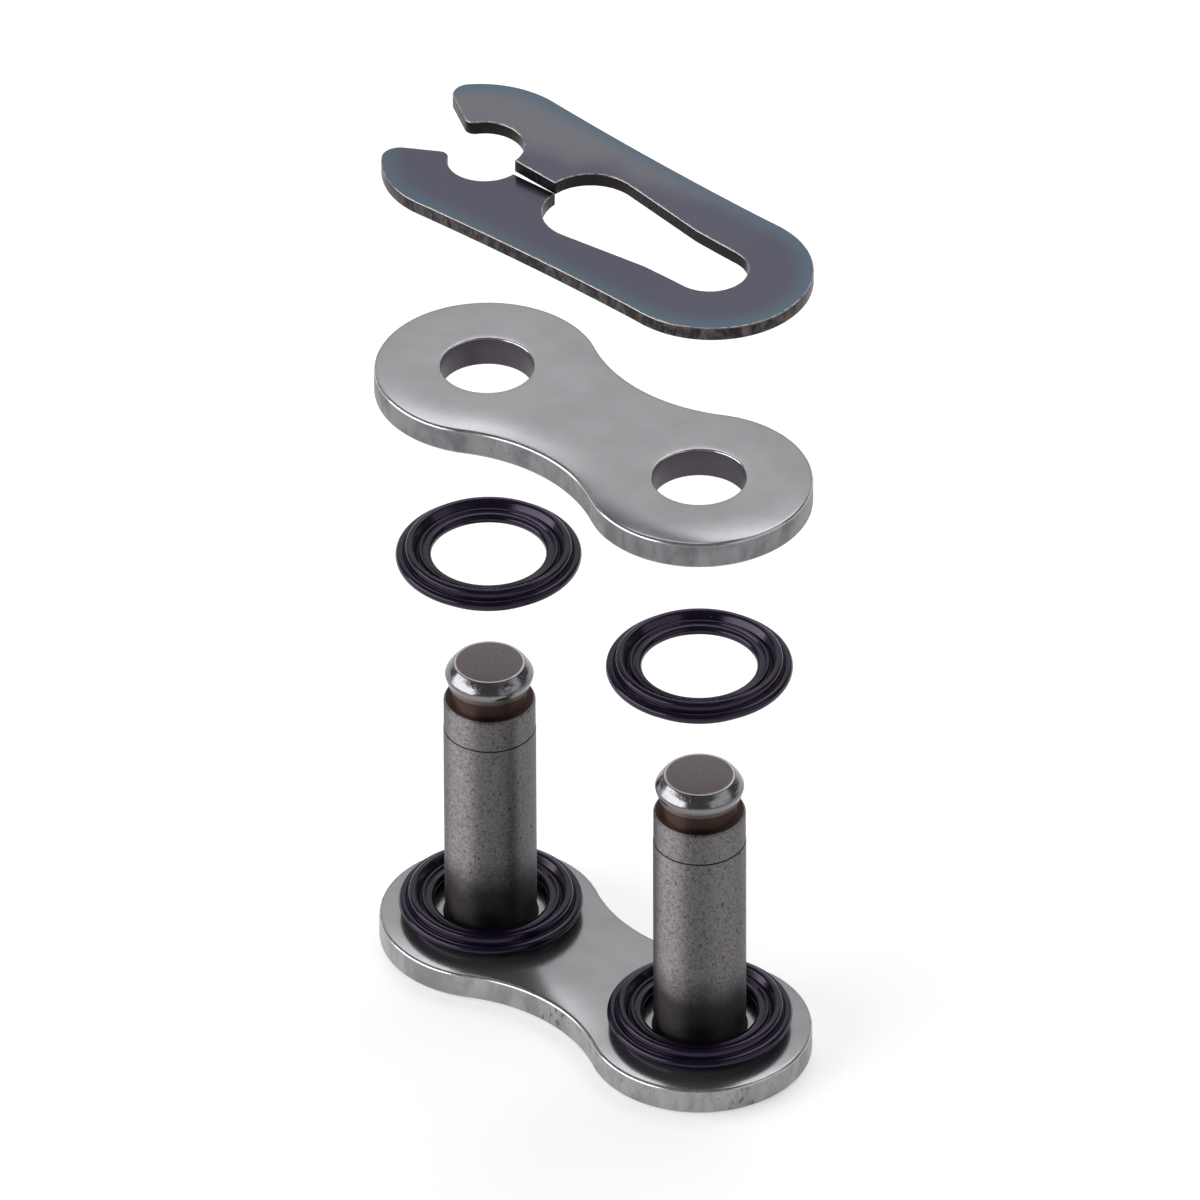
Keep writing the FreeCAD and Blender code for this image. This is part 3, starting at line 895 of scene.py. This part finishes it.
def clip_outline():
    """Outline of the whole clip, anticlockwise, from the middle of its closed end."""
    # The nose beside the mouth is an arc that touches the grip round the rear pin
    out_of_mouth = np.array([-math.cos(LEAD_IN), math.sin(LEAD_IN)])
    into_jaw = np.array([math.sin(LEAD_IN), math.cos(LEAD_IN)])
    nose_y = MOUTH_WIDTH / 2 + NOSE_ROUND
    nose = np.array([REAR_X - math.sqrt((GRIP_RADIUS + NOSE_ROUND) ** 2 - nose_y ** 2), nose_y])
    to_nose = math.atan2(nose[1], nose[0] - REAR_X)
    # The tip's arc touches the lead-in line and the jaw's round outside
    jaw = np.array([JAW_X, 0.0])
    tip_line = nose - into_jaw * NOSE_ROUND + into_jaw * TIP_ROUND - jaw
    along = tip_line @ out_of_mouth
    tip = jaw + tip_line + out_of_mouth * (
        math.sqrt(along ** 2 - tip_line @ tip_line + (JAW_RADIUS - TIP_ROUND) ** 2) - along
    )
    tip_angle = math.atan2(tip[1], tip[0] - JAW_X)
    mouth_side = math.atan2(-into_jaw[1], -into_jaw[0]) + 2 * math.pi
    # The long side is drawn in between the closed end and the jaw
    half_length = (CLIP_END_X - JAW_X) / 2
    side_fall = CLIP_END_RADIUS - SIDE_Y
    side_radius = (half_length ** 2 + side_fall ** 2) / (2 * side_fall)
    side_turn = math.asin(half_length / side_radius)
    side_centre = ((CLIP_END_X + JAW_X) / 2, SIDE_Y + side_radius)
    side_start, side_end = side_turn - math.pi / 2, -side_turn - math.pi / 2
    # The slot's flank leaves the keyhole at a tangent and ends at the neck
    neck = np.array([SLOT_NECK_X, GRIP_RADIUS])
    flank = math.atan2(neck[1], neck[0]) + math.acos(KEYHOLE_RADIUS / np.linalg.norm(neck))
    flank_start = KEYHOLE_RADIUS * np.array([math.cos(flank), math.sin(flank)])
    slit_rear = math.asin(SLIT_AT_BORE / 2 / GRIP_RADIUS)
    slit_front = math.pi - math.asin(SLIT_AT_KEYHOLE / 2 / KEYHOLE_RADIUS)
    slit_start = (REAR_X + GRIP_RADIUS * math.cos(slit_rear), SLIT_AT_BORE / 2)
    slit_end = (KEYHOLE_RADIUS * math.cos(slit_front), SLIT_AT_KEYHOLE / 2)
    half = np.concatenate([
        arc_run((CLIP_END_X, 0), CLIP_END_RADIUS, 0, math.pi / 2),
        arc_run(side_centre, side_radius, side_start, side_end, STRAIGHT_SPACING),
        arc_run(jaw, JAW_RADIUS, math.pi / 2, tip_angle),
        arc_run(tip, TIP_ROUND, tip_angle, mouth_side),
        line_run(tip - into_jaw * TIP_ROUND, nose - into_jaw * NOSE_ROUND),
        arc_run(nose, NOSE_ROUND, mouth_side, to_nose + math.pi, NOSE_SPACING),
        arc_run((REAR_X, 0), GRIP_RADIUS, to_nose, slit_rear, GRIP_SPACING),
        line_run(slit_start, slit_end, SLIT_SPACING),
        arc_run((0, 0), KEYHOLE_RADIUS, slit_front, flank, GRIP_SPACING),
        line_run(flank_start, neck),
        line_run(neck, (SLOT_END_X, GRIP_RADIUS)),
        arc_run((SLOT_END_X, 0), GRIP_RADIUS, math.pi / 2, 0, GRIP_SPACING),
        [(SLOT_END_X + GRIP_RADIUS, 0)],
    ])
    return np.concatenate([half, (half * [1, -1])[1:-1][::-1]])


def clip_loop(inset):
    """The clip's outline drawn in by inset along its own normals."""
    outline = clip_outline()
    normals = []
    for run in (outline - np.roll(outline, 1, 0), np.roll(outline, -1, 0) - outline):
        normals.append(np.stack([-run[:, 1], run[:, 0]], -1) / np.linalg.norm(run, axis=1)[:, None])
    middle = normals[0] + normals[1]
    return outline + inset * 2 * middle / (middle ** 2).sum(1)[:, None].clip(1)


def sprung(points):
    """Bend the legs: the flat closed end, a gentle curve, then straight, one leg up and the
    other down."""
    run = np.clip(BEND_X - points[:, 0], 0, None)
    curved = np.minimum(run, BEND_RADIUS * math.sin(LEG_RISE))
    rise = BEND_RADIUS - np.sqrt(BEND_RADIUS ** 2 - curved ** 2) + (run - curved) * math.tan(LEG_RISE)
    lift = CLIP_UNDERSIDE + rise * np.sign(points[:, 1])
    return points + lift[:, None] * [0, 0, 1]


clip = stamped_piece(
    "spring_clip_steel", [clip_loop], [rim_steps(CLIP_RIM_ROUND)], CLIP_THICKNESS, CLIP_GRID, sprung
)
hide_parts("spring_clip")

BLUED_STEEL = (0.094, 0.095, 0.126)
# Painted light: the face is painted paler over the far leg, standing in for how the light falls there.
BLUED_STEEL_PAINTED_LIGHT = (0.148, 0.15, 0.166)
PALE_REACH = (3.6, 6.2)
PALE_SLOPE = (0.25, 0.8)
PALE_WANDER = 4.0
BLUED_TINT = (0.098, 0.132, 0.172)
TINT_REACH = (4.1, 5.5)
BLUED_WALL = (0.095, 0.083, 0.082)
BLUED_WALL_DARK_AND_SHADE = (0.024, 0.02, 0.022)
# The clip's bright rim colour is partly wear from handling and partly a painted highlight.
CLIP_RIM_WEAR_AND_HIGHLIGHT = (0.4, 0.375, 0.35)
# Painted shade: the inner walls round the pins are painted darkest.
INNER_WALL_SHADE_REACH = (FRONT_X + 3.6, KEYHOLE_RADIUS + 0.2)
BLUED_ROUGHNESS = (0.22, 0.26)
BLUED_WALL_ROUGHENING = 0.16
BLUED_TORN_DARKENING = 0.8
SPECKLE_RELIEF = 0.04
CLIP_RELIEF = 0.025


def blued_steel_material():
    """Blued steel, painted paler on its far leg as painted light, and bluer along its outer rim, with dark
    sheared walls, the inner ones round the pins darkest with painted shade."""
    material, tree, shader = new_material("blued_spring_steel", Metallic=1.0)
    steel = placed(tree, cloudy_steel, Cloud_Scale=0.22, Speckle_Scale=8.0)
    edge = placed(tree, sheared_wall, Cloud_Scale=2.4, Torn_Share=0.65)
    wear_and_highlight = placed(tree, rim_wear_and_highlight, Width=0.08, Break_Scale=3.0)["Wear And Highlight"]
    x, y = separated(tree, in_millimetres(tree))[:2]
    # Painted light: paler towards the far leg
    along, across = [math_node(tree, "MULTIPLY", *pair) for pair in zip((x, y), PALE_SLOPE)]
    painted_light_drift = math_node(tree, "SUBTRACT", across, along)
    painted_light_drift = math_node(tree, "ADD", painted_light_drift, math_node(tree, "MULTIPLY", steel["Clouds"], PALE_WANDER))
    face_colour = mixed(tree, ranged(tree, painted_light_drift, *PALE_REACH), BLUED_STEEL, BLUED_STEEL_PAINTED_LIGHT)
    on_middle = math_node(tree, "MAXIMUM", math_node(tree, "MINIMUM", x, CLIP_END_X), JAW_X)
    from_middle = length_of(tree, math_node(tree, "SUBTRACT", x, on_middle), y)
    face_colour = mixed(tree, ranged(tree, from_middle, *TINT_REACH), face_colour, BLUED_TINT)
    wall_colour = mixed(tree, ranged(tree, edge["Burnish"], 0.35, 0.68), BLUED_WALL_DARK_AND_SHADE, BLUED_WALL)
    torn = math_node(tree, "MULTIPLY", edge["Torn"], BLUED_TORN_DARKENING)
    wall_colour = mixed(tree, torn, wall_colour, BLUED_WALL_DARK_AND_SHADE)
    # Painted shade on the inner walls round the pins
    inner = [
        math_node(tree, "LESS_THAN", math_node(tree, "ABSOLUTE", value), reach)
        for value, reach in zip((x, y), INNER_WALL_SHADE_REACH)
    ]
    wall_colour = mixed(tree, math_node(tree, "MULTIPLY", *inner), wall_colour, BLUED_WALL_DARK_AND_SHADE)
    colour = mixed(tree, edge["Wall"], face_colour, wall_colour)
    # Rims brightened: partly wear, partly painted highlight
    tree.links.new(mixed(tree, wear_and_highlight, colour, CLIP_RIM_WEAR_AND_HIGHLIGHT), shader.inputs["Base Color"])
    roughness = ranged(tree, steel["Speckle"], *NOISE_SPREAD, *BLUED_ROUGHNESS)
    roughening = math_node(tree, "MULTIPLY", edge["Wall"], BLUED_WALL_ROUGHENING)
    tree.links.new(math_node(tree, "ADD", roughness, roughening), shader.inputs["Roughness"])
    relief = math_node(tree, "MULTIPLY", edge["Wall"], edge["Torn"])
    relief = math_node(tree, "ADD", relief, math_node(tree, "MULTIPLY", steel["Speckle"], SPECKLE_RELIEF))
    bumped(tree, shader, relief, CLIP_RELIEF)
    return material


clip.data.materials.append(blued_steel_material())
